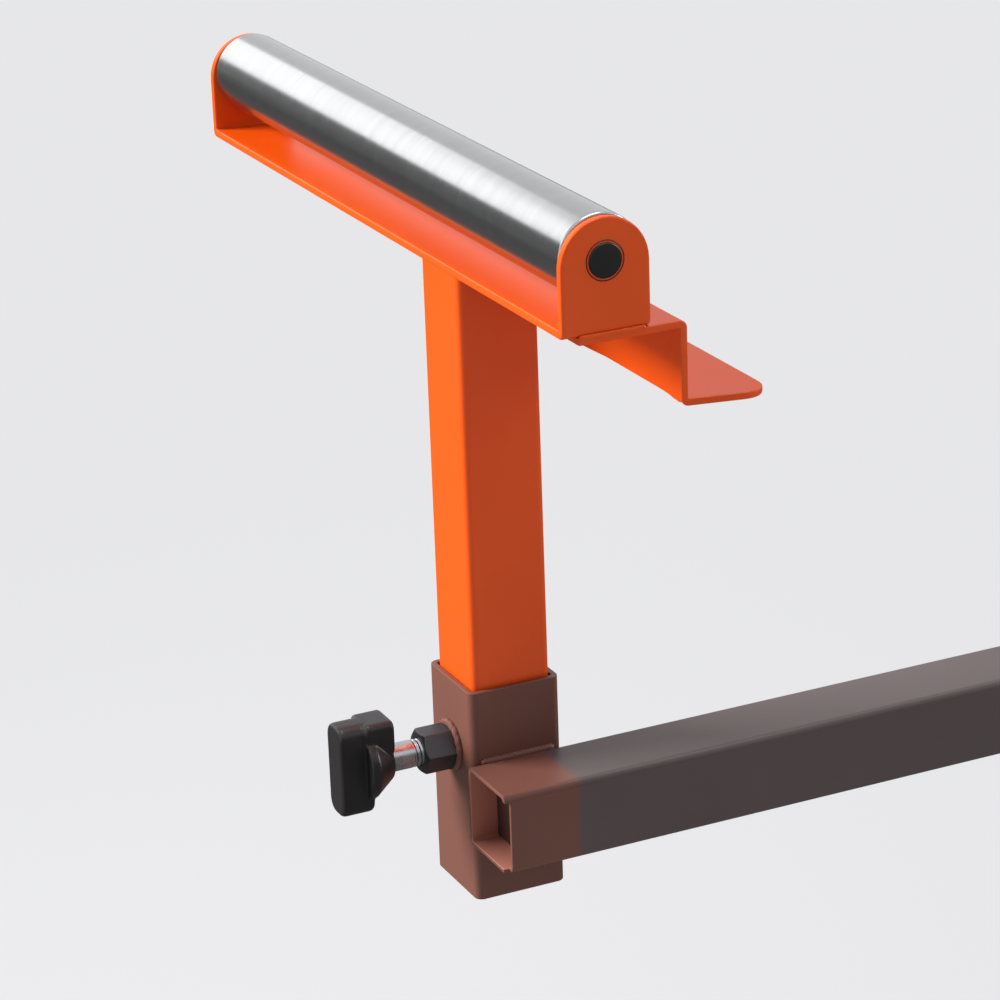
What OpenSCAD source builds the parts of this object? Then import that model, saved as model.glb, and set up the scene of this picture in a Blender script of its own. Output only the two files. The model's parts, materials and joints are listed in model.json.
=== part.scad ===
// Folding miter saw stand with two sliding arms. Each arm carries a roller
// support on a square post, held in a welded sleeve by a wing knob.
// Frame: X along the rails, Y to the back, Z up, origin on the floor under
// the middle. Everything on the left is also made on the right, turned by
// half a turn about the vertical through the origin.

/* [Stand] */
// Height of the rails' top above the floor
rail_top = 760; // [640:5:900]
// Length of each rail
rail_len = 1000; // [960:10:1400]
// How far each extension bar stands out of its rail
bar_out = 485; // [200:5:620]
// Length of each extension bar
bar_len = 850; // [800:5:900]

/* [Square tubes] */
// Width of the support posts
post_w = 30; // [26:1:36]
// Wall of the support posts
post_wall = 1.5; // [1:0.1:2.5]
// Corner radius of the support posts
post_r = 2.5; // [1.6:0.1:3.5]
// Width of the extension bars
bar_w = 30; // [26:1:36]
// Wall of the extension bars
bar_wall = 1.5; // [1:0.1:2.5]
// Corner radius of the extension bars
bar_r = 2.5; // [1.6:0.1:3.5]
// Wall of the sleeves, the rails and the cross members
sleeve_wall = 2.2; // [1.6:0.1:3]
// Corner radius of the sleeves, the rails and the cross members
sleeve_r = 3; // [2.3:0.1:5]
// Gap on each side between a sliding tube and the tube round it
slide_gap = 0.3; // [0.2:0.05:0.6]

/* [Roller support] */
// Length of the cradle over its two ears
cradle_len = 304; // [240:2:400]
// Width of the cradle strip
cradle_w = 31.8; // [29:0.2:40]
// Thickness of the cradle strip
cradle_t = 3; // [2:0.5:5]
// Outside bend radius of the cradle strip
cradle_bend_r = 2.2; // [1:0.1:2.9]
// Height of the ears over the cradle's underside
ear_h = 38.5; // [36:0.5:46]
// Height of the roller's axis over the cradle's underside
axle_h = 24.3; // [21:0.1:27]
// Outside radius of the roller
roller_r = 14.8; // [12:0.1:17]
// Wall of the roller tube
roller_wall = 1.5; // [1:0.1:3]
// Gap between each end of the roller and the ear
roller_gap = 0.6; // [0.4:0.1:1.5]
// Radius of the roller's axle
axle_r = 4; // [3:0.5:5]
// Depth of the bushes in the roller's ends
bush_len = 12; // [8:1:20]
// Radius of the caps over the axle's ends
cap_r = 6.8; // [6:0.1:8]
// How far a cap stands proud of the ear
cap_proud = 0.6; // [0.4:0.1:1.5]
// Distance from the post's axis to the middle of the roller
post_off = 56; // [40:1:90]
// Length of each support post
post_len = 220; // [205:5:300]
// Height of the cradle's underside over the sleeve at rest
post_out = 150.6; // [110:0.2:170]

/* [Stop bracket] */
// Length of the bracket along the roller
stop_len = 78; // [50:1:88]
// Sheet thickness of the bracket
stop_t = 2.5; // [2:0.1:3.5]
// Drop from the bracket's top to its lowest face
stop_drop = 29.2; // [22:0.2:30]
// Distance from the post's axis to the web's outer face
stop_web_x = 28.9; // [24:0.1:34]
// Distance from the post's axis to the lip's outer edge
stop_lip_x = 57.2; // [45:0.1:70]
// How far the upper flange reaches back under the cradle
stop_back = 39; // [24:0.5:43]
// Corner radius of the lip
stop_corner_r = 8; // [3:0.5:12]
// How much the lip widens towards its near corner
stop_flare = 4; // [0:0.5:6]

/* [Sleeve] */
// Length of the sleeve
sleeve_len = 80; // [70:1:95]
// Drop from the sleeve's top to the top of the bar
bar_drop = 26.6; // [15:0.2:35]
// Drop from the sleeve's top to the axis of the height screw
knob_drop = 25.6; // [14:0.2:50]
// How far the bar's open end stands proud of the sleeve's side
bar_proud = 2; // [0:0.1:4]
// How far the bar's front wall is cut back at the open end
end_notch = 2.3; // [0.5:0.1:6]
// Depth of the plug in the bar's open end
end_plug_in = 10; // [6:0.5:20]

/* [Clamp screws and knobs] */
// Radius of the clamp screws
screw_r = 5; // [4:0.5:6]
// Width of the welded nuts across their corners
nut_corner_w = 17; // [16:0.5:22]
// Length of the welded nuts
nut_len = 13; // [8:0.5:16]
// Bare screw between the nut and the knob
screw_show = 11.5; // [4:0.5:20]
// Radial clearance of a turning pin in its hole
turn_gap = 0.05; // [0.02:0.01:0.1]
// Length of the knob's hub
hub_len = 8; // [6:0.5:16]
// Radius of the hub where it meets the wings
hub_r = 13; // [9:0.5:15]
// Radius of the hub at the screw
hub_tip_r = 7.5; // [6.5:0.5:9]
// Length of the knob over its two wings
wing_len = 34; // [30:1:50]
// Depth of the wings along the screw
wing_depth = 12.5; // [10:0.5:20]
// Thickness of the wings
wing_t = 13; // [9:0.5:16]
// Height of the finger step on the hub side of the upper wing
step_h = 13; // [8:0.5:14]
// Width of the finger step, a little more than the wing's
step_w = 15; // [10:0.5:18]

/* [Legs] */
// Distance from the middle to each leg pivot
leg_x = 440; // [400:5:460]
// Distance from the middle plane to each leg
leg_y = 215; // [160:5:300]
// Width of the leg tubes
leg_w = 30; // [25:1:38]
// Wall of the leg tubes and braces
leg_wall = 1.5; // [1:0.1:2.5]
// Corner radius of the leg tubes
leg_r = 2.5; // [1.6:0.1:3.5]
// Outward splay of the legs in degrees
splay = 8; // [4:1:12]
// Distance from a cross member down to the upper leg pivots
pivot_drop = 25; // [24:1:34]
// Extra drop of the right frame's pivots, so that it folds under the left
stack_step = 40; // [39:1:60]
// Radius of the pivot bolts
bolt_r = 4; // [3:0.5:5]
// Thickness of the bracket cheeks
cheek_t = 3; // [2:0.5:4]
// Radius of the bracket cheeks round the pivot
cheek_r = 44; // [42:1:55]
// Distance from the pivot to the clamp screw of the leg
slot_r = 31; // [28:0.5:33]
// Length of leg above its pivot
leg_head = 17; // [15:1:18]
// Distance from the pivot to the brace
brace_s = 480; // [300:5:520]
// Radius of the brace tube
brace_r = 12.5; // [9:0.5:15]
// Wall of the rubber feet
foot_wall = 4; // [2:0.5:4.5]
// Depth of the legs in their feet
foot_grip = 32; // [20:1:50]
// Rubber between the leg and the floor
foot_sole = 10; // [8:1:16]

/* [Saw mounts] */
// Distance from the middle to each saw mount at rest
mount_x = 230; // [120:5:350]
// Width of the saw mounts along the rails
mount_w = 60; // [50:2:70]
// Length of the saw mounts across the rails
mount_len = 420; // [360:5:460]
// Height of the saw mounts over the rails
mount_h = 25; // [18:1:40]
// Sheet thickness of the saw mounts
mount_t = 2.5; // [2:0.1:4]
// Width of the bolt slots
bolt_slot_w = 9; // [6:0.5:11]
// Length of the bolt slots
bolt_slot_len = 60; // [30:1:90]
// Distance between the middles of the two bolt slots
bolt_slot_pitch = 280; // [200:5:300]
// Thickness of the hooks that hold the rails
hook_t = 3; // [2:0.5:4]
// How far the hooks reach under the rails
hook_lip = 12; // [8:0.5:16]
// Width of the clamp jaws
jaw_w = 40; // [30:1:44]
// Radius of the lever's cam
cam_r = 9; // [8:0.5:11]
// Offset of the cam from its pin
cam_off = 1.2; // [0.6:0.1:1.3]
// Length of the clamp levers
lever_len = 95; // [60:1:120]
// Width of the clamp levers
lever_w = 20; // [14:1:30]
// Thickness of the clamp levers
lever_t = 6; // [4:0.5:8]

/* [Hidden] */
$fn = 64;

// Overrun of every cut past the face that it opens
over = 1;
// Gap between a clamp screw's tip and the tube that it presses on
tip_gap = 0.1;
// Thickness of the rim of a plastic tube plug
plug_rim = 2;
// Depth of a plastic tube plug
plug_depth = 18;
// Wall of the hollow plastic plugs
plug_wall = 2.5;
// How far the lock screws sit from the rails' open ends
lock_inset = 24;
// Height and width of the pivot bolts' heads and nuts
bolt_head_h = 5.5;
bolt_corner_w = 15;
// Depth of a clamp screw in its knob
screw_grip = 9;
// Radius of the saw mounts' lever pins
mount_pin_r = 4;
// Distance from a front hook's outer face to the cam
cam_gap = 0.5;
// Edge of sheet left round the lever pins
pin_edge = 12;
// How far a leg clamp's stud reaches into the leg
leg_screw_in = 8;

// Sizes that follow
sleeve_w = post_w + 2 * (slide_gap + sleeve_wall);
rail_w = bar_w + 2 * (slide_gap + sleeve_wall);
post_y = -post_off;
bar_y = post_y - sleeve_w / 2 - bar_w / 2;
rail_z = rail_top - rail_w / 2;
rail_face = -bar_y + rail_w / 2;
rail_bottom = rail_top - rail_w;
bar_x0 = -(rail_len / 2 + bar_out);
post_x = bar_x0 + sleeve_w / 2;
sleeve_top = rail_z + bar_w / 2 + bar_drop;
cradle_z = sleeve_top + post_out;
axle_z = cradle_z + axle_h;
roller_len = cradle_len - 2 * (cradle_t + roller_gap);
knob_z = nut_len + screw_show;
lock_x = -rail_len / 2 + lock_inset;
cross_z = rail_bottom - rail_w / 2;
cross_bottom = rail_bottom - rail_w;
cheek_in = leg_y - leg_w / 2 - slide_gap;
cheek_out = leg_y + leg_w / 2 + slide_gap;
left_pivot_z = cross_bottom - pivot_drop;
right_pivot_z = left_pivot_z - stack_step;
fold = 90 + splay;
mount_z = rail_top + slide_gap;
mount_top = mount_z + mount_h;
hook_y = rail_face + slide_gap;
pin_y = -(hook_y + hook_t + cam_gap + cam_r + cam_off);
pin_z = rail_top - cam_r - pin_edge;
ledge_z = pin_z + cam_r + cam_off + slide_gap;

// A square with rounded corners, centred
module rounded_square(w, r) {
    square([w, w - 2 * r], center = true);
    square([w - 2 * r, w], center = true);
    for (sx = [-1, 1], sy = [-1, 1])
        translate([sx * (w / 2 - r), sy * (w / 2 - r)]) circle(r);
}

// A square tube that stands on z = 0
module square_tube(w, wall, r, len) {
    linear_extrude(len) difference() {
        rounded_square(w, r);
        rounded_square(w - 2 * wall, r - wall);
    }
}

// A closed plug for a square tube, its rim up to z = 0 and its body above
module tube_plug(w, wall, r) {
    inner = w - 2 * wall;
    translate([0, 0, -plug_rim]) linear_extrude(plug_rim) rounded_square(w, r);
    linear_extrude(plug_depth) difference() {
        rounded_square(inner, r - wall);
        square(inner - 2 * plug_wall, center = true);
    }
}

// Places: the left support, and half a turn for the right side
module at_post() {
    translate([post_x, post_y, sleeve_top]) children();
}
module turned() {
    rotate([0, 0, 180]) children();
}
module at_height_screw() {
    at_post() translate([-sleeve_w / 2, 0, -knob_drop])
        rotate([0, -90, 0]) children();
}
module at_lock_screw() {
    translate([lock_x, -rail_face, rail_z]) rotate([90, 0, 0]) children();
}
module at_axle() {
    translate([post_x, 0, axle_z]) rotate([90, 0, 0]) children();
}

// Clamp hardware, standing on the tube's outer face at z = 0
module clamp_nut() {
    color("#3c3a3b") difference() {
        rotate(30) cylinder(nut_len, r = nut_corner_w / 2, $fn = 6);
        translate([0, 0, -over])
            cylinder(nut_len + 2 * over, r = screw_r + turn_gap);
    }
}
module clamp_screw() {
    reach = sleeve_wall + slide_gap - tip_gap;
    color("silver") translate([0, 0, -reach])
        cylinder(reach + knob_z + screw_grip, r = screw_r);
}
module knob_wing() {
    hull() for (s = [-1, 1])
        translate([s * (wing_len - wing_t) / 2, 0, hub_len])
            cylinder(wing_depth, r = wing_t / 2, $fn = 32);
}
module knob_step() {
    translate([wing_len / 2 - step_h, -step_w / 2, 0])
        cube([step_h, step_w, hub_len]);
}
module clamp_knob() {
    color("#1e1d1d") translate([0, 0, knob_z]) difference() {
        union() {
            cylinder(hub_len, r1 = hub_tip_r, r2 = hub_r);
            knob_wing();
            knob_step();
        }
        translate([0, 0, -over]) cylinder(screw_grip + over, r = screw_r);
    }
}

// Rails, with the hole for the lock screw near the open end
module rail() {
    color("#453c3c") difference() {
        translate([-rail_len / 2, bar_y, rail_z]) rotate([0, 90, 0])
            square_tube(rail_w, sleeve_wall, sleeve_r, rail_len);
        at_lock_screw() translate([0, 0, -sleeve_wall - over])
            cylinder(sleeve_wall + 2 * over, r = screw_r + slide_gap);
    }
}
module front_rail() rail();
module rear_rail() turned() rail();

module rail_plug() {
    color("#1e1d1d") translate([rail_len / 2, bar_y, rail_z])
        rotate([0, -90, 0]) tube_plug(rail_w, sleeve_wall, sleeve_r);
}
module rail_plugs() {
    rail_plug();
    turned() rail_plug();
}

module lock_nuts() {
    at_lock_screw() clamp_nut();
    turned() at_lock_screw() clamp_nut();
}

module cross_member() {
    len = 2 * (cheek_in - cheek_t);
    color("#453c3c") translate([-leg_x, len / 2, cross_z])
        rotate([90, 0, 0])
            square_tube(rail_w, sleeve_wall, sleeve_r, len);
}
module cross_members() {
    cross_member();
    turned() cross_member();
}

// Extension bar, open at the sleeve, with a plug set back inside it
module extension_bar() {
    end_x = bar_x0 - bar_proud;
    color("#453c3c") difference() {
        translate([end_x, bar_y, rail_z]) rotate([0, 90, 0])
            square_tube(bar_w, bar_wall, bar_r, bar_len + bar_proud);
        translate([end_x - over, bar_y - bar_w / 2 - over,
                   rail_z - bar_w / 2 - over])
            cube([end_notch + over, bar_r + over,
                  bar_w - bar_r + over]);
    }
}
module bar_end_plug() {
    color("#5b3a32")
        translate([bar_x0 - bar_proud + end_plug_in, bar_y, rail_z])
            rotate([0, 90, 0]) linear_extrude(plug_depth)
                rounded_square(bar_w - 2 * bar_wall, bar_r - bar_wall);
}
module bar_plug() {
    color("#1e1d1d") translate([bar_x0 + bar_len, bar_y, rail_z])
        rotate([0, -90, 0]) tube_plug(bar_w, bar_wall, bar_r);
}

// Sleeve with the hole for the height screw
module post_sleeve() {
    color("#5b3a32") difference() {
        at_post() translate([0, 0, -sleeve_len])
            square_tube(sleeve_w, sleeve_wall, sleeve_r, sleeve_len);
        at_height_screw() translate([0, 0, -sleeve_wall - over])
            cylinder(sleeve_wall + 2 * over, r = screw_r + slide_gap);
    }
}

// Post, welded under the cradle
module support_post() {
    color("#ff7c2c") at_post() translate([0, 0, post_out - post_len])
        square_tube(post_w, post_wall, post_r, post_len);
}
module post_plug() {
    color("#1e1d1d") at_post() translate([0, 0, post_out - post_len])
        tube_plug(post_w, post_wall, post_r);
}

// Cradle: a strip bent up at both ends, with round-topped ears
module cradle_side() {
    half = cradle_len / 2;
    r = cradle_bend_r;
    difference() {
        union() {
            translate([-half + r, 0]) square([cradle_len - 2 * r, r]);
            translate([-half, r]) square([cradle_len, ear_h - r]);
            for (s = [-1, 1]) translate([s * (half - r), r]) circle(r);
        }
        translate([-half + cradle_t, cradle_t])
            square([cradle_len - 2 * cradle_t, ear_h]);
    }
}
module ear_outline() {
    translate([0, ear_h - cradle_w / 2]) circle(cradle_w / 2);
    translate([-cradle_w / 2, 0]) square([cradle_w, ear_h - cradle_w / 2]);
}
module roller_cradle() {
    color("#b93d12") translate([post_x, 0, cradle_z]) difference() {
        intersection() {
            translate([-cradle_w / 2, 0, 0]) rotate([90, 0, 90])
                linear_extrude(cradle_w) cradle_side();
            translate([0, cradle_len / 2, 0]) rotate([90, 0, 0])
                linear_extrude(cradle_len) ear_outline();
        }
        translate([0, cradle_len / 2 + over, axle_h]) rotate([90, 0, 0])
            cylinder(cradle_len + 2 * over, r = cap_r);
    }
}

// Stop bracket: a Z of sheet under the near end of the cradle
module stop_side() {
    translate([stop_web_x - stop_back, -stop_t])
        square([stop_back - stop_t, stop_t]);
    translate([stop_web_x - stop_t, -stop_t]) circle(stop_t);
    translate([stop_web_x - stop_t, -stop_drop + stop_t])
        square([stop_t, stop_drop - 2 * stop_t]);
    translate([stop_web_x, -stop_drop + stop_t]) circle(stop_t);
    translate([stop_web_x, -stop_drop])
        square([stop_lip_x - stop_web_x, stop_t]);
}
module stop_outline() {
    r = stop_corner_r;
    back = stop_web_x - stop_back;
    near = [stop_lip_x - r, r - stop_flare];
    // Where the flared edge, from the web's corner, touches the near arc
    run = near - [stop_web_x, 0];
    turn = atan2(run.y, run.x) - asin(r / norm(run));
    touch = [stop_web_x, 0]
        + sqrt(run * run - r * r) * [cos(turn), sin(turn)];
    translate([back, 0]) square([stop_lip_x - back - r, stop_len]);
    translate([stop_web_x, near.y])
        square([stop_lip_x - stop_web_x, stop_len - r - near.y]);
    polygon([[stop_web_x, 0], touch, near, [stop_web_x, near.y]]);
    translate(near) circle(r);
    translate([stop_lip_x - r, stop_len - r]) circle(r);
}
module stop_bracket() {
    color("#b93d12") translate([post_x, -cradle_len / 2, cradle_z])
        intersection() {
            translate([0, stop_len, 0]) rotate([90, 0, 0])
                linear_extrude(stop_len + stop_flare) difference() {
                    stop_side();
                    // Square inside corners under the two bends
                    translate([stop_web_x - stop_back, -stop_drop])
                        square([stop_back - stop_t, stop_drop - stop_t]);
                    translate([stop_web_x, -stop_drop + stop_t])
                        square([stop_lip_x, stop_drop]);
                }
            translate([0, 0, -stop_drop]) linear_extrude(stop_drop)
                stop_outline();
        }
}

// Roller, its bushes, its fixed axle and the caps over the axle
module roller_shell() {
    color("#c8c8c8") at_axle() translate([0, 0, -roller_len / 2])
        difference() {
            cylinder(roller_len, r = roller_r);
            translate([0, 0, -over])
                cylinder(roller_len + 2 * over, r = roller_r - roller_wall);
        }
}
module roller_bushes() {
    color("#1e1d1d") at_axle() for (s = [-1, 1])
        translate([0, 0, s * (roller_len - bush_len) / 2]) difference() {
            cylinder(bush_len, r = roller_r - roller_wall, center = true);
            cylinder(bush_len + 2 * over, r = axle_r + turn_gap,
                     center = true);
        }
}
module roller_axle() {
    color("silver") at_axle()
        cylinder(cradle_len - cradle_t, r = axle_r, center = true);
}
module axle_caps() {
    color("#221f20") at_axle() for (s = [0, 1]) mirror([0, 0, s])
        translate([0, 0, cradle_len / 2 - cradle_t]) difference() {
            cylinder(cradle_t + cap_proud, r = cap_r);
            translate([0, 0, -over])
                cylinder(cradle_t / 2 + over, r = axle_r);
        }
}

// Leg parts stand in the left frame's own place, z = 0 at the pivot, and
// hang down along -z before they are splayed
module at_pivot(z) {
    translate([-leg_x, 0, z]) children();
}
module splayed(z) {
    at_pivot(z) rotate([0, splay, 0]) children();
}
module leg(z, side, clamped) {
    len = z / cos(splay) - foot_sole;
    color("#453c3c") splayed(z) translate([0, side * leg_y, 0])
        difference() {
            translate([0, 0, -len])
                square_tube(leg_w, leg_wall, leg_r, len + leg_head);
            rotate([90, 0, 0])
                cylinder(leg_w + 2 * over, r = bolt_r + turn_gap,
                         center = true);
            if (clamped) translate([0, side * leg_w / 2, -slot_r])
                rotate([90, 0, 0])
                    cylinder(2 * leg_wall + 2 * over, r = screw_r + turn_gap,
                             center = true);
        }
}
module leg_brace(z) {
    len = 2 * (leg_y - leg_w / 2);
    color("#453c3c") splayed(z) translate([0, 0, -brace_s])
        rotate([90, 0, 0]) difference() {
            cylinder(len, r = brace_r, center = true);
            cylinder(len + 2 * over, r = brace_r - leg_wall, center = true);
        }
}
module leg_feet(z) {
    w = leg_w + 2 * foot_wall;
    end = z / cos(splay) - foot_sole;
    deep = foot_grip + 2 * foot_sole;
    color("#1e1d1d") for (side = [-1, 1]) difference() {
        splayed(z) translate([0, side * leg_y, -end + foot_grip - deep])
            difference() {
                linear_extrude(deep) rounded_square(w, leg_r + foot_wall);
                translate([0, 0, deep - foot_grip])
                    linear_extrude(foot_grip + over)
                        rounded_square(leg_w, leg_r);
            }
        translate([-2 * leg_x, -2 * leg_y, -2 * deep])
            cube([4 * leg_x, 4 * leg_y, 2 * deep]);
    }
}

// Wing knob on its own stud, clamping the front leg to the slotted cheek
module leg_knob(z) {
    splayed(z) translate([0, -cheek_out - cheek_t, -slot_r])
        rotate([90, 0, 0]) {
            translate([0, 0, slide_gap - knob_z]) clamp_knob();
            reach = cheek_t + slide_gap + leg_screw_in;
            color("silver") translate([0, 0, -reach])
                cylinder(reach + slide_gap + screw_grip, r = screw_r);
        }
}

// Bracket at one end of a cross member: two cheeks under a top web, the
// outer one of the front bracket with a curved slot for the clamp screw
function arc(r, from, to) =
    [for (i = [0:24]) let (a = from + (to - from) * i / 24)
        [r * cos(a), r * sin(a)]];
function slot_end(a, from) =
    [for (p = arc(screw_r + slide_gap, from, from + 180))
        p + [slot_r * cos(a), slot_r * sin(a)]];
module cheek_slot() {
    half = screw_r + slide_gap;
    start = -90 - splay;
    polygon(concat(arc(slot_r + half, start, 0), slot_end(0, 0),
                   arc(slot_r - half, 0, start),
                   slot_end(start, start + 180)));
}
module cheek(up, slotted) {
    difference() {
        union() {
            circle(cheek_r);
            translate([-rail_w / 2, 0]) square([rail_w, up]);
        }
        if (slotted) cheek_slot();
    }
}
module leg_bracket(z, side, slotted) {
    up = rail_bottom - z;
    color("#453c3c") at_pivot(z) difference() {
        union() {
            for (outer = [false, true]) {
                y = outer ? cheek_out + cheek_t : cheek_in;
                translate([0, side > 0 ? y : cheek_t - y, 0])
                    rotate([90, 0, 0]) linear_extrude(cheek_t)
                        cheek(up, slotted && outer);
            }
            translate([-rail_w / 2,
                       side > 0 ? cheek_in - cheek_t : -cheek_out - cheek_t,
                       up - cheek_t])
                cube([rail_w, cheek_out - cheek_in + 2 * cheek_t, cheek_t]);
        }
        translate([0, side * leg_y, 0]) rotate([90, 0, 0])
            cylinder(leg_w + 4 * cheek_t, r = bolt_r, center = true);
    }
}
module leg_brackets(z) {
    leg_bracket(z, -1, true);
    leg_bracket(z, 1, false);
}
module pivot_bolt(z, side) {
    half = leg_w / 2 + slide_gap + cheek_t;
    color("silver") at_pivot(z) translate([0, side * leg_y, 0])
        rotate([90, 0, 0]) {
            cylinder(2 * half + 2 * bolt_head_h, r = bolt_r, center = true);
            for (s = [0, 1]) mirror([0, 0, s]) translate([0, 0, half])
                cylinder(bolt_head_h, r = bolt_corner_w / 2, $fn = 6);
        }
}
module leg_pivot_bolts() {
    for (side = [-1, 1]) pivot_bolt(left_pivot_z, side);
    turned() for (side = [-1, 1]) pivot_bolt(right_pivot_z, side);
}

// Saw mount: a channel across both rails, with ears for the lever pin and
// a fixed hook round the back rail
module mount_side() {
    rear = hook_y + hook_t + pin_edge;
    front = -pin_y + pin_edge;
    bottom = pin_z - pin_edge;
    translate([-mount_len / 2, mount_z])
        square([mount_len, mount_h]);
    translate([hook_y, bottom]) square([rear - hook_y, mount_top - bottom]);
    translate([-front, bottom])
        square([front - hook_y, mount_top - bottom]);
}
module bolt_slot() {
    half = (bolt_slot_len - bolt_slot_w) / 2;
    for (s = [-1, 1]) translate([0, s * half, 0])
        cylinder(mount_t + 2 * over, r = bolt_slot_w / 2, center = true);
    cube([bolt_slot_w, 2 * half, mount_t + 2 * over], center = true);
}
module saw_mount() {
    color("#b93d12") translate([-mount_x, 0, 0]) {
        difference() {
            for (x = [-mount_w / 2, mount_w / 2 - mount_t])
                translate([x, 0, 0]) rotate([90, 0, 90])
                    linear_extrude(mount_t) mount_side();
            translate([0, pin_y, pin_z]) rotate([0, 90, 0])
                cylinder(mount_w + 2 * over, r = mount_pin_r, center = true);
        }
        difference() {
            translate([-mount_w / 2, -mount_len / 2, mount_top - mount_t])
                cube([mount_w, mount_len, mount_t]);
            for (s = [-1, 1])
                translate([0, s * bolt_slot_pitch / 2,
                           mount_top - mount_t / 2]) bolt_slot();
        }
        translate([-mount_w / 2, 0, 0]) rotate([90, 0, 90])
            linear_extrude(mount_w) hook_side(rail_bottom - slide_gap
                - hook_t, mount_top);
    }
}

// A hook round a rail's outer face, from z0 up to z1
module hook_side(z0, z1) {
    translate([hook_y, z0]) square([hook_t, z1 - z0]);
    translate([rail_face - hook_lip, z0])
        square([hook_lip + slide_gap + hook_t, hook_t]);
}
module mount_pin() {
    color("silver") translate([-mount_x, pin_y, pin_z]) rotate([0, 90, 0])
        cylinder(mount_w, r = mount_pin_r, center = true);
}
module clamp_jaw() {
    z0 = rail_bottom - slide_gap - hook_t;
    color("silver") translate([-mount_x - jaw_w / 2, 0, 0])
        rotate([90, 0, 90]) linear_extrude(jaw_w) mirror([1, 0]) {
            hook_side(z0, ledge_z + hook_t);
            translate([hook_y, ledge_z])
                square([-pin_y - hook_y + cam_r / 2, hook_t]);
        }
}
module clamp_lever() {
    color("#1e1d1d") translate([-mount_x, pin_y, pin_z])
        difference() {
            union() {
                translate([0, 0, cam_off]) rotate([0, 90, 0])
                    cylinder(lever_w, r = cam_r, center = true);
                translate([-lever_w / 2, -cam_r, -lever_len])
                    cube([lever_w, lever_t, lever_len]);
            }
            rotate([0, 90, 0])
                cylinder(lever_w + 2 * over, r = mount_pin_r + turn_gap,
                         center = true);
        }
}

// The left side
module left_extension_bar() extension_bar();
module left_bar_end_plug() bar_end_plug();
module left_bar_plug() bar_plug();
module left_post_sleeve() post_sleeve();
module left_sleeve_nut() at_height_screw() clamp_nut();
module left_height_screw() at_height_screw() clamp_screw();
module left_height_knob() at_height_screw() clamp_knob();
module left_support_post() support_post();
module left_post_plug() post_plug();
module left_roller_cradle() roller_cradle();
module left_stop_bracket() stop_bracket();
module left_roller_axle() roller_axle();
module left_axle_caps() axle_caps();
module left_roller_shell() roller_shell();
module left_roller_bushes() roller_bushes();
module left_lock_screw() at_lock_screw() clamp_screw();
module left_lock_knob() at_lock_screw() clamp_knob();
module left_front_leg() leg(left_pivot_z, -1, true);
module left_rear_leg() leg(left_pivot_z, 1, false);
module left_leg_brace() leg_brace(left_pivot_z);
module left_leg_feet() leg_feet(left_pivot_z);
module left_leg_knob() leg_knob(left_pivot_z);
module left_leg_brackets() leg_brackets(left_pivot_z);
module left_saw_mount() saw_mount();
module left_mount_pin() mount_pin();
module left_clamp_jaw() clamp_jaw();
module left_clamp_lever() clamp_lever();

// The right side: half a turn, and mirror images for the saw mounts, so
// that both levers are at the front
module right_extension_bar() turned() extension_bar();
module right_bar_end_plug() turned() bar_end_plug();
module right_bar_plug() turned() bar_plug();
module right_post_sleeve() turned() post_sleeve();
module right_sleeve_nut() turned() at_height_screw() clamp_nut();
module right_height_screw() turned() at_height_screw() clamp_screw();
module right_height_knob() turned() at_height_screw() clamp_knob();
module right_support_post() turned() support_post();
module right_post_plug() turned() post_plug();
module right_roller_cradle() turned() roller_cradle();
module right_stop_bracket() turned() stop_bracket();
module right_roller_axle() turned() roller_axle();
module right_axle_caps() turned() axle_caps();
module right_roller_shell() turned() roller_shell();
module right_roller_bushes() turned() roller_bushes();
module right_lock_screw() turned() at_lock_screw() clamp_screw();
module right_lock_knob() turned() at_lock_screw() clamp_knob();
module right_rear_leg() turned() leg(right_pivot_z, -1, true);
module right_front_leg() turned() leg(right_pivot_z, 1, false);
module right_leg_brace() turned() leg_brace(right_pivot_z);
module right_leg_feet() turned() leg_feet(right_pivot_z);
module right_leg_knob() turned() leg_knob(right_pivot_z);
module right_leg_brackets() turned() leg_brackets(right_pivot_z);
module right_saw_mount() mirror([1, 0, 0]) saw_mount();
module right_mount_pin() mirror([1, 0, 0]) mount_pin();
module right_clamp_jaw() mirror([1, 0, 0]) clamp_jaw();
module right_clamp_lever() mirror([1, 0, 0]) clamp_lever();

front_rail();
rear_rail();
cross_members();
left_leg_brackets();
right_leg_brackets();
leg_pivot_bolts();
lock_nuts();
rail_plugs();
left_extension_bar();
left_bar_end_plug();
left_bar_plug();
left_post_sleeve();
left_sleeve_nut();
left_height_screw();
left_height_knob();
left_support_post();
left_post_plug();
left_roller_cradle();
left_stop_bracket();
left_roller_axle();
left_axle_caps();
left_roller_shell();
left_roller_bushes();
left_lock_screw();
left_lock_knob();
right_extension_bar();
right_bar_end_plug();
right_bar_plug();
right_post_sleeve();
right_sleeve_nut();
right_height_screw();
right_height_knob();
right_support_post();
right_post_plug();
right_roller_cradle();
right_stop_bracket();
right_roller_axle();
right_axle_caps();
right_roller_shell();
right_roller_bushes();
right_lock_screw();
right_lock_knob();
left_front_leg();
left_rear_leg();
left_leg_brace();
left_leg_feet();
left_leg_knob();
right_front_leg();
right_rear_leg();
right_leg_brace();
right_leg_feet();
right_leg_knob();
left_saw_mount();
left_mount_pin();
left_clamp_jaw();
left_clamp_lever();
right_saw_mount();
right_mount_pin();
right_clamp_jaw();
right_clamp_lever();
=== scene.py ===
"""Miter saw stand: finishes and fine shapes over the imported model.

Laid out as an add-on, and run as a script. Lengths are in metres in the
row frame: +X along the rails, +Y to the back, +Z up, the floor at z = 0.
"""

import json
import math

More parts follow.
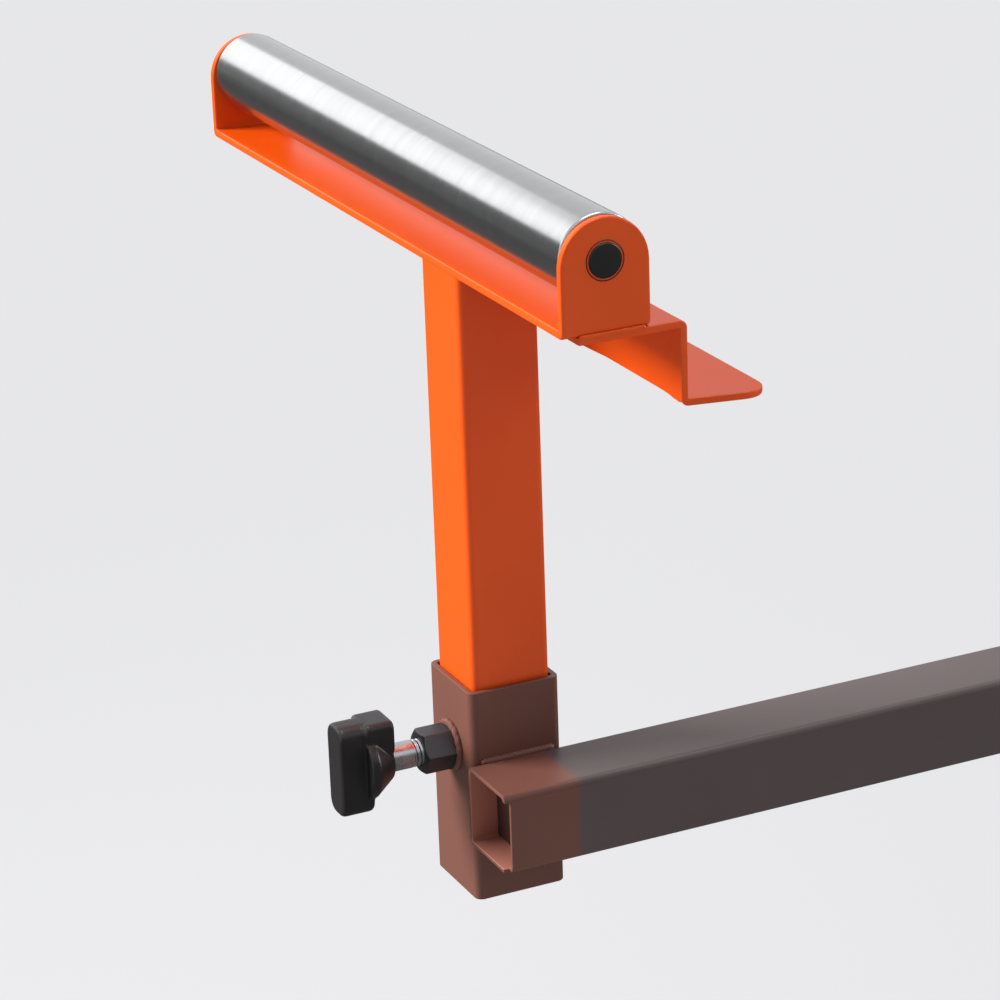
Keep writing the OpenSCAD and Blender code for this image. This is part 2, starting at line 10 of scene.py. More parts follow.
import bmesh
import bpy
import numpy as np
from mathutils import Matrix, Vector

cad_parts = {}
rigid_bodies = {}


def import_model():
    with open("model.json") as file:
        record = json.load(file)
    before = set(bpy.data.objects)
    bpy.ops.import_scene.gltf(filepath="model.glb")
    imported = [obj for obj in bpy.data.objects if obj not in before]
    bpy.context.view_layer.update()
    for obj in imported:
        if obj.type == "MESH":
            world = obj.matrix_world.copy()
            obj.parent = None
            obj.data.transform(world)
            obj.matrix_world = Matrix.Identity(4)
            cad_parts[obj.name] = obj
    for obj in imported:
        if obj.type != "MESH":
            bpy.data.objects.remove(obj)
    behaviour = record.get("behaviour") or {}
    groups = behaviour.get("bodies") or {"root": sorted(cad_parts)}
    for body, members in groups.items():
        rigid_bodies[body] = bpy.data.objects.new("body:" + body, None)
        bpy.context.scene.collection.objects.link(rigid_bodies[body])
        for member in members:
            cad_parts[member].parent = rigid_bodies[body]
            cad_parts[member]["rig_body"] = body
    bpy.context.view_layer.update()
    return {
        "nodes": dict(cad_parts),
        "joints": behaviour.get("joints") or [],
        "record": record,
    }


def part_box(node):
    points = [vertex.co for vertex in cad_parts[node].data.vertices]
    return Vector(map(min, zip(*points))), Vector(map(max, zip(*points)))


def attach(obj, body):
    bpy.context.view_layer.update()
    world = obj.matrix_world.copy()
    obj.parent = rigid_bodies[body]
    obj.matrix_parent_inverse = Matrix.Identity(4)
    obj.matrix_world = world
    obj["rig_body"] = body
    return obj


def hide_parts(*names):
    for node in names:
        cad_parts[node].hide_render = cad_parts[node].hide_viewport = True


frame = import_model()

bl_info = {
    "name": "Miter saw stand",
    "version": (1, 0, 0),
    "blender": (4, 5, 0),
    "location": "View3D > Sidebar > Saw stand",
    "description": "Finishes and fine shapes of a folding miter saw stand",
    "category": "Object",
}

MM = 0.001
TAU = 2 * math.pi
SLOTS = {s["node"]: s["material_slot"] for s in frame["record"]["subparts"]}
JOINTS = {j["name"]: j for j in frame["joints"]}
HALF_TURN = np.array([-1.0, -1.0, 1.0])
SIDES = (("left", np.ones(3)), ("right", HALF_TURN))
SPLAY = math.radians(8)  # lean of the legs
UP = np.array([0.0, 0.0, 1.0])
RIGHTWARDS = np.array([1.0, 0.0, 0.0])
BACKWARDS = np.array([0.0, 1.0, 0.0])


# Sizes and colours that a user would change

def length(name, description, millimetres):
    """A length property, given in millimetres and kept in metres."""
    return bpy.props.FloatProperty(
        name=name, description=description, default=millimetres * MM,
        min=0.0, precision=5, subtype="DISTANCE", unit="LENGTH")


def linear(code):
    """An sRGB hex colour as linear RGBA."""
    srgb = np.array([int(code[i:i + 2], 16) for i in (1, 3, 5)]) / 255
    low, high = srgb / 12.92, ((srgb + 0.055) / 1.055) ** 2.4
    return (*np.where(srgb <= 0.04045, low, high).tolist(), 1.0)


def colour(name, description, code):
    """A colour property, given as an sRGB hex value."""
    return bpy.props.FloatVectorProperty(
        name=name, description=description, default=linear(code), size=4,
        min=0.0, max=1.0, subtype="COLOR")


class StandSizes(bpy.types.PropertyGroup):
    """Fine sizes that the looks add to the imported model."""

    tube_ease: length("Tube edge", "Rounding of sawn tube ends", 0.4)
    sheet_ease: length("Sheet edge", "Rounding of sheet edges", 0.5)
    cradle_ease: length("Cradle edge", "Rounding of the cradle's edges", 0.8)
    plug_ease: length("Plug edge", "Rounding of plastic plugs", 0.7)
    inside_bend: length("Inside bend", "Inside radius of sheet bends", 0.8)
    cradle_sheet: length("Cradle sheet", "Thickness of the strip", 3.0)
    bracket_sheet: length("Bracket sheet", "Thickness of the stop", 2.5)
    roller_rim: length("Roller rim", "Rounding of the roller's ends", 0.9)
    roller_wall: length("Roller wall", "Wall of the roller tube", 1.5)
    thread_pitch: length("Thread pitch", "Pitch of the clamp screws", 1.5)
    thread_depth: length("Thread depth", "Depth of their threads", 0.45)
    bead_width: length("Weld width", "Width of the weld beads", 3.2)
    nut_bead: length("Nut weld", "Width of the weld round a nut", 3.0)
    bead_pitch: length("Weld ripple", "Distance between ripples", 1.6)
    knob_voxel: length("Knob fineness", "Grid that fuses the knobs", 0.45)


class StandColours(bpy.types.PropertyGroup):
    """Colours of the finishes."""

    orange: colour("Orange", "Orange powder coat", "#DD4E08")
    brown: colour("Brown", "Brown powder coat of the sleeves", "#6C453B")
    # Painted shade: darker than the sleeves' brown, standing for the shade
    # inside the bars' open ends
    plug_shade_brown: colour("Dark brown", "Plugs in the bars' ends", "#3A241E")
    grey_brown: colour("Grey-brown", "Coat of bars and rails", "#554A4A")
    zinc: colour("Zinc", "Bright zinc plate", "#C9CCD1")
    dark_steel: colour("Dark steel", "Steel of the welded nuts", "#5C5B5E")
    roller: colour("Roller", "Ground steel of the rollers", "#BDBEBE")
    nylon: colour("Nylon", "Moulded black nylon", "#211F20")
    rubber: colour("Rubber", "Black rubber of the feet", "#191818")
    backdrop: colour("Backdrop", "Floor and background", "#E7E7E9")


# Shapes: every surface is a grid of points, worked out as whole arrays

def box(node):
    """Lowest corner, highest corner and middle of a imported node."""
    low, high = (np.array(corner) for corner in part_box(node))
    return low, high, (low + high) / 2


def unit(vector):
    """The vector with length 1."""
    return np.asarray(vector, float) / np.linalg.norm(vector)


def axis_frame(axis):
    """A unit axis and two directions square to it and to each other."""
    axis = unit(axis)
    side = unit(np.cross(axis, UP if abs(axis[2]) < 0.9 else RIGHTWARDS))
    return axis, side, np.cross(axis, side)


def turned(a, side, up):
    """The direction cos a side + sin a up."""
    return np.cos(a) * side + np.sin(a) * up


def lengths(points):
    """The length along a line of points, from the first to each."""
    steps = np.linalg.norm(np.diff(points, axis=0), axis=1)
    return np.concatenate([[0], np.cumsum(steps)])


def patch(points, closed_u=False, closed_v=False):
    """The quads between neighbouring points of a grid; a closed side also
    joins its last line to its first."""
    rows, columns = points.shape[:2]
    u, v = np.meshgrid(np.arange(rows if closed_u else rows - 1),
                       np.arange(columns if closed_v else columns - 1),
                       indexing="ij")
    u1, v1 = (u + 1) % rows, (v + 1) % columns
    quads = [u * columns + v, u1 * columns + v,
             u1 * columns + v1, u * columns + v1]
    return points.reshape(-1, 3), np.stack(quads, -1).reshape(-1, 4)


def capped(loops):
    """Closed loops with a pole in the middle of the first and the last."""
    poles = [np.repeat(loop.mean(0)[None, None], loops.shape[1], 1)
             for loop in (loops[0], loops[-1])]
    return patch(np.concatenate([poles[0], loops, poles[1]]), False, True)


def arc(centre, radius, start, stop, steps=6):
    """Points centre + radius (cos a, sin a), a from start to stop."""
    a = np.radians(np.linspace(start, stop, steps + 1))
    return np.asarray(centre) + radius * np.stack([np.cos(a), np.sin(a)], -1)


def rounded(width, height, radius, steps=6):
    """A rectangle with round corners as a loop: four quarter circles, each
    about its own corner's centre."""
    x, y = width / 2 - radius, height / 2 - radius
    return np.concatenate([
        arc(corner, radius, start, start + 90, steps)
        for corner, start in (((x, y), 0), ((-x, y), 90), ((-x, -y), 180),
                              ((x, -y), 270))])


def lathe(profile, centre, axis, count=64, closed=False):
    """A profile of (radius, height) points turned about an axis: centre +
    height axis + radius (cos a side + sin a up)."""
    axis, side, up = axis_frame(axis)
    a = np.linspace(0, TAU, count, endpoint=False)[None, :, None]
    radius, height = np.asarray(profile, float).T[:, :, None, None]
    points = centre + height * axis + radius * turned(a, side, up)
    return patch(points, closed, True)


def filleted(corners, radii):
    """A line through corners, each with a radius replaced by the arc that
    touches both of its lines."""
    corners = np.asarray(corners, float)
    points = [corners[:1]]
    for before, at, after, radius in zip(corners, corners[1:], corners[2:],
                                         radii[1:]):
        if not radius:
            points.append(at[None])
            continue
        to_before, to_after = unit(before - at), unit(after - at)
        half = math.acos(np.clip(to_before @ to_after, -1, 1)) / 2
        reach = radius / math.tan(half)
        centre = at + unit(to_before + to_after) * radius / math.sin(half)
        first = at + to_before * reach - centre
        last = at + to_after * reach - centre
        turn = math.pi - 2 * half
        t = np.linspace(0, 1, 6)[:, None]
        points.append(centre + (np.sin((1 - t) * turn) * first
                                + np.sin(t * turn) * last) / math.sin(turn))
    return np.concatenate([*points, corners[-1:]])


def blank(first, last, left, right):
    """A grid over a flat blank from its four edges: the two pairs of edges
    blended, less the blend of the corners."""
    u = np.linspace(0, 1, len(left))[:, None, None]
    v = np.linspace(0, 1, len(first))[None, :, None]
    along = (1 - u) * first[None] + u * last[None]
    across = (1 - v) * left[:, None] + v * right[:, None]
    corners = ((1 - u) * ((1 - v) * first[0] + v * first[-1])
               + u * ((1 - v) * last[0] + v * last[-1]))
    return along + across - corners


def bent_sheet(flat, outer, inner, place):
    """A sheet bent to shape: a blank's (s, w) grid lies on two skins, each
    a line in the side view, s being the length along the outer one. place
    puts (side view, w) in the row frame."""
    s = lengths(outer)
    skins = [place(np.stack([np.interp(flat[..., 0], s, skin[:, i])
                             for i in (0, 1)], -1), flat[..., 1])
             for skin in (outer, inner)]
    rims = [np.concatenate([g[0, :-1], g[:-1, -1], g[-1, :0:-1], g[:0:-1, 0]])
            for g in skins]
    return [patch(skins[0]), patch(skins[1]),
            patch(np.stack(rims), False, True)]


def bead(path, normal, side, width, pitch, closed=False):
    """A weld bead: an oval carried along a path, its radius
    width/2 (0.84 + 0.16 sqrt(1 - f^2)), f running from -1 to 1 over each
    ripple, ripples bowed by cos a, ends drawn in to points."""
    s = lengths(path)
    whole = s[-1] + (np.linalg.norm(path[0] - path[-1]) if closed else 0)
    a = np.linspace(0, TAU, 14, endpoint=False)[None]
    ripple = (s[:, None] + 0.3 * width * np.cos(a)) / pitch
    f = 2 * (ripple % 1) - 1
    uneven = 1 + 0.05 * np.sin(ripple * 0.61 + 1) * np.sin(ripple * 0.23)
    radius = width / 2 * (0.84 + 0.16 * np.sqrt(1 - f ** 2)) * uneven
    if not closed:
        inside = np.minimum(s, whole - s) / (0.7 * width)
        radius = radius * np.sqrt(
            1 - (1 - np.clip(inside, 0, 1)) ** 2)[:, None]
    normal, side = (np.broadcast_to(d, path.shape)[:, None]
                    for d in (normal, side))
    ring = turned(a[..., None], normal, side)
    return patch(path[:, None] + radius[..., None] * ring, closed, True)


def line(start, stop):
    """Points from start to stop, 0.35 mm apart."""
    start, stop = np.asarray(start, float), np.asarray(stop, float)
    count = max(2, int(np.linalg.norm(stop - start) / (0.35 * MM)))
    return start + np.linspace(0, 1, count)[:, None] * (stop - start)


def circle(centre, radius, u, v):
    """Points centre + radius (cos a u + sin a v)."""
    a = np.linspace(0, TAU, 160, endpoint=False)[:, None]
    return centre + radius * turned(a, u, v)


def hexagon_radius(a, apothem):
    """Distance from the middle to a hexagon's side, in the direction a."""
    return apothem / np.cos((a + TAU / 12) % (TAU / 6) - TAU / 12)


def hex_solid(centre, axis, apothem, height, bore=0.0, phase=0.0):
    """A hexagon nut or bolt head: on each end a cone of 30 degrees cuts the
    corners, so a side's height over the face is (radius - face) tan 30."""
    axis, side, up = axis_frame(axis)
    a = np.linspace(0, TAU, 60, endpoint=False)
    corner = hexagon_radius(a + phase, apothem)
    face = np.full_like(a, 0.93 * apothem)
    drop = (corner - face) * math.tan(math.radians(30))
    inner = np.full_like(a, bore)
    loops = [(inner, 0 * a), (face, 0 * a), (corner, drop),
             (corner, height - drop), (face, height + 0 * a),
             (inner, height + 0 * a)]
    radius, z = (np.stack(part)[..., None] for part in zip(*loops))
    ring = turned(a[:, None], side, up)[None]
    return patch(centre + z * axis + radius * ring, bore > 0, True)


def threaded_rod(start, axis, size, radius, pitch, depth, plain):
    """A rod with a thread: radius less depth times a triangle wave of
    height / pitch - angle / turn, both ends chamfered, plain at its end."""
    axis, side, up = axis_frame(axis)
    a = np.linspace(0, TAU, 40, endpoint=False)[None]
    h = np.linspace(0, size, int(size / pitch * 8))[:, None]
    wave = np.abs(2 * ((h / pitch - a / TAU) % 1) - 1)
    fade = np.clip((size - plain - h) / pitch, 0, 1)
    end = np.clip(1 - np.minimum(h, size - h) / (2 * depth), 0, 1)
    r = (radius - depth * wave * fade - 2 * depth * end)[..., None]
    return capped(start + h[..., None] * axis
                  + r * turned(a[..., None], side, up))


def rounded_prism(outline, heights, ease, frame_of):
    """An outline drawn up between two heights, both edges rounded: at each
    height it is drawn in towards its middle by ease (1 - cos a)."""
    low, high = heights
    a = np.radians(np.linspace(0, 90, 5))
    inset = ease * (1 - np.sin(a))
    z = np.concatenate([low + ease * (1 - np.cos(a)),
                        (high - ease * (1 - np.cos(a)))[::-1]])
    inset = np.concatenate([inset, inset[::-1]])
    middle = outline.mean(0)
    reach = np.abs(outline - middle).max(0)
    scale = 1 - inset[:, None, None] / reach
    flat = middle + (outline - middle)[None] * scale
    tall = np.broadcast_to(z[:, None, None], (*flat.shape[:2], 1))
    return capped(frame_of(np.concatenate([flat, tall], -1)))


# Objects

def new_object(name, data):
    """An object of a mesh, lamp or camera, put into the scene."""
    thing = bpy.data.objects.new(name, data)
    bpy.context.scene.collection.objects.link(thing)
    return thing


def smooth(piece, ease=0.0):
    """Rounds a piece's edges that are sharper than 35 degrees, and gives
    its faces even shading."""
    piece.data.polygons.foreach_set(
        "use_smooth", np.ones(len(piece.data.polygons), bool))
    if ease:
        rounding = piece.modifiers.new("rounded_edges", "BEVEL")
        rounding.width = ease
        rounding.segments = 3
        rounding.limit_method = "ANGLE"
        rounding.angle_limit = math.radians(35)
        rounding.use_clamp_overlap = False
    shading = piece.modifiers.new("even_shading", "WEIGHTED_NORMAL")
    shading.keep_sharp = True


def dress(piece, body, material, slot, nodes=()):
    """Gives a piece its body and finish, and hides the nodes it replaces. slot
    is not used.
    """
    if piece.type != "MESH" or not len(piece.data.polygons):
        raise RuntimeError(f"{piece.name} has no faces")
    piece.data.materials.clear()
    piece.data.materials.append(material)
    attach(piece, body)
    if nodes:
        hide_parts(*nodes)


def closed_mesh(name, patches, turn=1.0, fuse=0.0):
    """One mesh object from patches, its doubles merged and its faces
    outwards; fuse melts shells that overlap into one on a voxel grid."""
    points, quads, base = [], [], 0
    for some, faces in patches:
        points.append(some * turn)
        quads.append(faces + base)
        base += len(some)
    mesh = bpy.data.meshes.new(name)
    mesh.from_pydata(np.concatenate(points), [], np.concatenate(quads))
    tidy_mesh(mesh)
    piece = new_object(name, mesh)
    if fuse:
        fused = piece.modifiers.new("fused", "REMESH")
        fused.mode = "VOXEL"
        fused.voxel_size = fuse
        soft = piece.modifiers.new("soft", "SMOOTH")
        soft.factor = 0.5
        soft.iterations = 6
        apply_modifiers(piece)
    return piece


def tidy_mesh(mesh, packed=False):
    """Merges doubled points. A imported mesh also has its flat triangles
    joined; any other loses faces with no area and turns the rest
    outwards."""
    shape = bmesh.new()
    shape.from_mesh(mesh)
    bmesh.ops.remove_doubles(shape, verts=shape.verts,
                             dist=2e-6 if packed else 1e-6)
    if packed:
        bmesh.ops.dissolve_limit(
            shape, angle_limit=math.radians(0.4),
            use_dissolve_boundaries=False, verts=shape.verts,
            edges=shape.edges)
    else:
        bmesh.ops.dissolve_degenerate(shape, edges=shape.edges, dist=1e-7)
        bmesh.ops.recalc_face_normals(shape, faces=shape.faces)
    shape.to_mesh(mesh)
    shape.free()


def apply_modifiers(piece):
    """Replaces a piece's mesh by the one its modifiers make."""
    graph = bpy.context.evaluated_depsgraph_get()
    made = bpy.data.meshes.new_from_object(piece.evaluated_get(graph))
    old = piece.data
    piece.modifiers.clear()
    piece.data = made
    bpy.data.meshes.remove(old)


def eased_copy(node, ease, material=None):
    """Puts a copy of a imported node, its triangles merged, flat ones joined
    and sharp edges rounded, in its place. It has its slot's finish unless
    another is given."""
    source = frame["nodes"][node]
    mesh = source.data.copy()
    tidy_mesh(mesh, packed=True)
    if "custom_normal" in mesh.attributes:
        mesh.attributes.remove(mesh.attributes["custom_normal"])
    piece = new_object(f"{node}_eased", mesh)
    smooth(piece, ease)
    dress(piece, source["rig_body"], material or finish_of(SLOTS[node]),
          SLOTS[node], [node])


def paint_node(node):
    """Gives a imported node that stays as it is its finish."""
    materials = frame["nodes"][node].data.materials
    materials.clear()
    materials.append(finish_of(SLOTS[node]))


# Materials

def add(tree, kind, inputs=None, **settings):
    """Adds a node with its settings, values and links."""
    node = tree.nodes.new(kind)
    for name, value in settings.items():
        setattr(node, name, value)
    for name, value in (inputs or {}).items():
        socket = node.inputs[name]
        if isinstance(value, bpy.types.NodeSocket):
            tree.links.new(value, socket)
        else:
            socket.default_value = value
    return node


def new_material(name):
    """An empty node material with Object coordinates."""
    material = bpy.data.materials.new(name)
    material.use_nodes = True
    tree = material.node_tree
    tree.nodes.clear()
    place = add(tree, "ShaderNodeTexCoord").outputs["Object"]
    return material, tree, place


def noise(tree, place, size, detail=2.0, stretch=(1, 1, 1)):
    """Noise whose patches are about size across, in metres, and longer
    along an axis where stretch is under 1."""
    scaled = add(tree, "ShaderNodeMapping", {
        "Vector": place, "Scale": tuple(s / size for s in stretch)})
    return add(tree, "ShaderNodeTexNoise", {
        "Vector": scaled.outputs["Vector"], "Scale": 1.0,
        "Detail": detail}).outputs["Fac"]


def soft_step(tree, value, start, stop, least=0.0):
    """Goes smoothly from least to 1 as the value goes from start to
    stop."""
    return add(tree, "ShaderNodeMapRange", {
        "Value": value, "From Min": start, "From Max": stop,
        "To Min": least}, interpolation_type="SMOOTHSTEP").outputs["Result"]


def between(tree, value, low, high):
    """The value, 0.3 to 0.7 in noise, spread from low to high."""
    return add(tree, "ShaderNodeMapRange", {
        "Value": value, "From Min": 0.3, "From Max": 0.7,
        "To Min": low, "To Max": high}).outputs["Result"]


def shaded(tree, base, value, spread):
    """The colour, lighter and darker by spread with the value."""
    return add(tree, "ShaderNodeHueSaturation", {
        "Color": base, "Value": between(tree, value, 1 - spread, 1 + spread)
    }).outputs["Color"]


def relief(tree, height, deep, strength):
    """The normal of a skin with a fine relief, deep in millimetres."""
    return add(tree, "ShaderNodeBump", {
        "Height": height, "Distance": deep * MM, "Strength": strength
    }).outputs["Normal"]


def surface(tree, **inputs):
    """The shader and the material's output."""
    named = {name.replace("_", " "): value for name, value in inputs.items()}
    shader = add(tree, "ShaderNodeBsdfPrincipled", named)
    add(tree, "ShaderNodeOutputMaterial",
        {"Surface": shader.outputs["BSDF"]})


def skin(name, base, cloud, spread, gloss, grain, bumps, **inputs):
    """A material whose colour varies by spread, and whose roughness lies
    within gloss, in cloudy patches, under a fine relief. cloud and grain
    are what noise is given, bumps what relief is given."""
    material, tree, place = new_material(name)
    wide, fine = (noise(tree, place, *values) for values in (cloud, grain))
    surface(tree, Base_Color=shaded(tree, base, wide, spread),
            Roughness=between(tree, wide, *gloss),
            Normal=relief(tree, fine, *bumps), **inputs)
    return material


def powder_coat(name, base, roughness, ends=None):
    """Polyester powder coat, sprayed dry and baked. It flows into a
    semi-gloss skin with a faint orange peel, 1.8 mm from crest to crest
    and some 10 microns high, slightly uneven in gloss, and fillers take a
    little of its shine. ends is a second colour for what lies over 958 mm
    from the middle: the bars' ends, which are sprayed with their sleeves,
    up to a soft edge 4 mm wide. Inside the bars, within 13.7 mm of their
    middle line, the colour is made 2.5 times as light: painted light
    against the shade inside the tubes."""
    material, tree, place = new_material(name)
    if ends is not None:
        def worked_out(operation, *values):
            return add(tree, "ShaderNodeMath", dict(enumerate(values)),
                       operation=operation).outputs["Value"]

        at = add(tree, "ShaderNodeSeparateXYZ", {"Vector": place}).outputs
        # The right bar's middle is as high as this, and at its -Y
        bar = box("left_extension_bar")[2]
        fade = soft_step(tree, worked_out("ABSOLUTE", at["X"]), 0.956, 0.96)
        base = add(tree, "ShaderNodeMix", {0: fade, 6: base, 7: ends},
                   data_type="RGBA").outputs[2]
        # Painted light: faces within 13.7 mm of a bar's middle line, its inner
        # walls, are made 2.5 times as light against the shade inside the tube
        inside = worked_out("MULTIPLY", *(
            worked_out("COMPARE", value, middle, 13.7 * MM)
            for value, middle in (
                (worked_out("ABSOLUTE", at["Y"]), -bar[1]),
                (at["Z"], bar[2]))))
        base = add(tree, "ShaderNodeHueSaturation", {
            "Color": base, "Value": worked_out(
                "MULTIPLY_ADD", inside, 1.5, 1.0)}).outputs["Color"]
    peel = noise(tree, place, 1.8 * MM, 1.0)
    uneven = noise(tree, place, 45 * MM, 3.0)
    surface(tree, Base_Color=shaded(tree, base, uneven, 0.03),
            Roughness=between(tree, uneven, roughness - 0.04,
                              roughness + 0.04),
            Specular_IOR_Level=0.36, Normal=relief(tree, peel, 0.03, 0.5))
    return material


def plated_zinc(name, base):
    """Bright zinc, plated in a barrel and passivated. It stays grey and a
    little cloudy, with spots some 3 mm across that are duller, and has
    fine dents from the barrel."""
    return skin(name, base, cloud=(3 * MM, 4.0), spread=0.08,
                gloss=(0.2, 0.38), grain=(0.7 * MM, 2.0), bumps=(0.02, 0.4),
                Metallic=1.0)


def dark_nut_steel(name, base):
    """Hot-forged steel under a thin black oxide, soot-grey where the weld
    has heated it. Rougher than plated steel, with pits 0.5 mm across."""
    return skin(name, base, cloud=(4 * MM, 3.0), spread=0.15,
                gloss=(0.3, 0.5), grain=(0.5 * MM, 3.0), bumps=(0.03, 0.4),
                Metallic=0.9)


def ground_steel(name, base):
    """Steel tube, ground and polished between centres, then plated. The
    belt leaves rings round the tube about 0.3 mm apart, drawn here at
    0.6 mm so that they show, so highlights run along it as soft bands."""
    material, tree, place = new_material(name)
    rings = noise(tree, place, 0.6 * MM, 2.0, (0.02, 1, 0.02))
    wide = noise(tree, place, 6 * MM, 3.0, (0.1, 1, 0.1))
    surface(tree, Base_Color=shaded(tree, base, wide, 0.03),
            Roughness=between(tree, rings, 0.17, 0.24), Metallic=1.0,
            Normal=relief(tree, rings, 0.006, 0.35))
    return material


def moulded_nylon(name, base):
    """Glass-filled nylon, injection moulded in a spark-eroded mould. Its
    skin has a fine satin grain, 0.35 mm across, drawn at 0.5 mm, and
    turns slightly grey at a shallow angle."""
    return skin(name, base, cloud=(12 * MM, 2.0), spread=0.1,
                gloss=(0.3, 0.4), grain=(0.5 * MM, 2.0), bumps=(0.04, 0.35),
                IOR=1.53)


def moulded_rubber(name, base):
    """Carbon-black rubber, compression moulded: matt, with dust in its
    texture, patches about 8 mm across."""
    return skin(name, base, cloud=(8 * MM, 4.0), spread=0.2,
                gloss=(0.62, 0.8), grain=(0.6 * MM, 2.0), bumps=(0.06, 0.5),
                IOR=1.52)


# A slot's kind of material, its name, and colours from the panel or values
FINISHES = {
    "orange_paint": (powder_coat, "orange_powder_coat", "orange", 0.34),
    "brown_paint": (powder_coat, "brown_powder_coat", "brown", 0.4),
    "dark_paint": (powder_coat, "grey_brown_powder_coat", "grey_brown", 0.4,
                   "brown"),
    "zinc": (plated_zinc, "bright_zinc_plate", "zinc"),
    "dark_steel": (dark_nut_steel, "black_oxide_steel", "dark_steel"),
    "roller_steel": (ground_steel, "ground_steel_tube", "roller"),
    "black_plastic": (moulded_nylon, "moulded_black_nylon", "nylon"),
    "rubber": (moulded_rubber, "moulded_rubber", "rubber"),
}


def finish_of(slot):
    """The material of one of the record's slots, made on first use."""
    kind, name, *values = FINISHES[slot]
    colours = bpy.context.scene.stand_colours
    return bpy.data.materials.get(name) or kind(name, *(
        getattr(colours, value) if isinstance(value, str) else value
        for value in values))


def node_piece(name, node, patches, turn=1.0, ease=0.0, fuse=0.0):
    """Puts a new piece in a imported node's place."""
    piece = closed_mesh(name, patches, turn, fuse)
    smooth(piece, ease)
    dress(piece, frame["nodes"][node]["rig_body"], finish_of(SLOTS[node]),
          SLOTS[node], [node])


def both_sides(*pieces, ease=0.0):
    """Left pieces, each from a name, a node and patches, and the right
    ones, which are turned by half a turn."""
    for side, turn in SIDES:
        for name, node, patches in pieces:
            node_piece(f"{side}_{name}", f"{side}_{node}", patches, turn,
                       ease)


# Operators: one for each kind of piece

class StandOperator:
    """What all of this file's operators share: each makes its pieces in
    make, from the sizes in the panel."""

    bl_options = {"REGISTER", "UNDO"}

    def execute(self, context):
        self.make(context.scene.stand_sizes)
        return {"FINISHED"}


class STAND_OT_tubes(StandOperator, bpy.types.Operator):
    """Square tubes, with rounded sawn ends, and their plastic plugs"""

    bl_idname = "stand.tubes"
    bl_label = "Tubes and plugs"

    def make(self, sizes):
        tubes = ["front_rail", "rear_rail", "cross_members"]
        plugs = ["rail_plugs"]
        for side, _ in SIDES:
            tubes += [f"{side}_{part}" for part in (
                "extension_bar", "post_sleeve", "front_leg", "rear_leg")]
            plugs += [f"{side}_bar_plug", f"{side}_post_plug"]
            for part in ("support_post", "leg_brace"):
                paint_node(f"{side}_{part}")
        for node in tubes:
            eased_copy(node, sizes.tube_ease)
        for node in plugs:
            eased_copy(node, sizes.plug_ease)
        # Painted shade: the plugs get a darker brown than the sleeves,
        # standing for the shade inside the bars' open ends
        plug_shade_brown = bpy.context.scene.stand_colours.plug_shade_brown
        deep = powder_coat("dark_brown_coat", plug_shade_brown, 0.5)
        for side, _ in SIDES:
            eased_copy(f"{side}_bar_end_plug", sizes.plug_ease, deep)


class STAND_OT_pressed_sheet(StandOperator, bpy.types.Operator):
    """Leg brackets, saw mounts and clamp jaws of bent sheet, and pins"""

    bl_idname = "stand.pressed_sheet"
    bl_label = "Brackets, saw mounts and jaws"

    def make(self, sizes):
        for side, _ in SIDES:
            for part in ("leg_brackets", "saw_mount", "clamp_jaw",
                         "mount_pin"):
                eased_copy(f"{side}_{part}", sizes.sheet_ease)


class STAND_OT_cradles(StandOperator, bpy.types.Operator):
    """Roller cradles: a strip bent up into two round-topped ears"""

    bl_idname = "stand.cradles"
    bl_label = "Roller cradles"

    def make(self, sizes):
        low, high, middle = box("left_roller_cradle")
        half, tall = (high - low)[1] / 2, (high - low)[2]
        radius = (high - low)[0] / 2
        t, inside = sizes.cradle_sheet, sizes.inside_bend
        outside = inside + 1.6 * MM
        shared = 10 * MM  # height at which both skins have a corner
        outer = filleted(
            [(-half, tall), (-half, shared), (-half, 0), (half, 0),
             (half, shared), (half, tall)],
            [0, 0, outside, outside, 0, 0])
        inner = filleted(
            [(-half + t, tall), (-half + t, shared), (-half + t, t),
             (half - t, t), (half - t, shared), (half - t, tall)],
            [0, 0, inside, inside, 0, 0])
        s = lengths(outer)
        whole = s[-1]
        top = arc((radius, 0), radius, 225, 135, 12)
        corner = arc((radius, 0), radius, 135, 90, 6)[1:]
        straight = s[(s > radius + MM) & (s < whole - radius - MM)]

        def mirrored(edge):
            """An edge of the blank's first end, put at its last end."""
            return edge * [-1, 1] + [whole, 0]

        right = np.concatenate([
            top[-1:], corner,
            np.stack([straight, np.full_like(straight, radius)], -1),
            mirrored(corner[::-1]), mirrored(top[-1:])])
        flat = blank(top, mirrored(top), right * [1, -1], right)

        def place(side_view, across):
            return np.stack([middle[0] + across, side_view[..., 0],
                             low[2] + side_view[..., 1]], -1)

        both_sides(("cradle", "roller_cradle",
                    bent_sheet(flat, outer, inner, place)),
                   ease=sizes.cradle_ease)


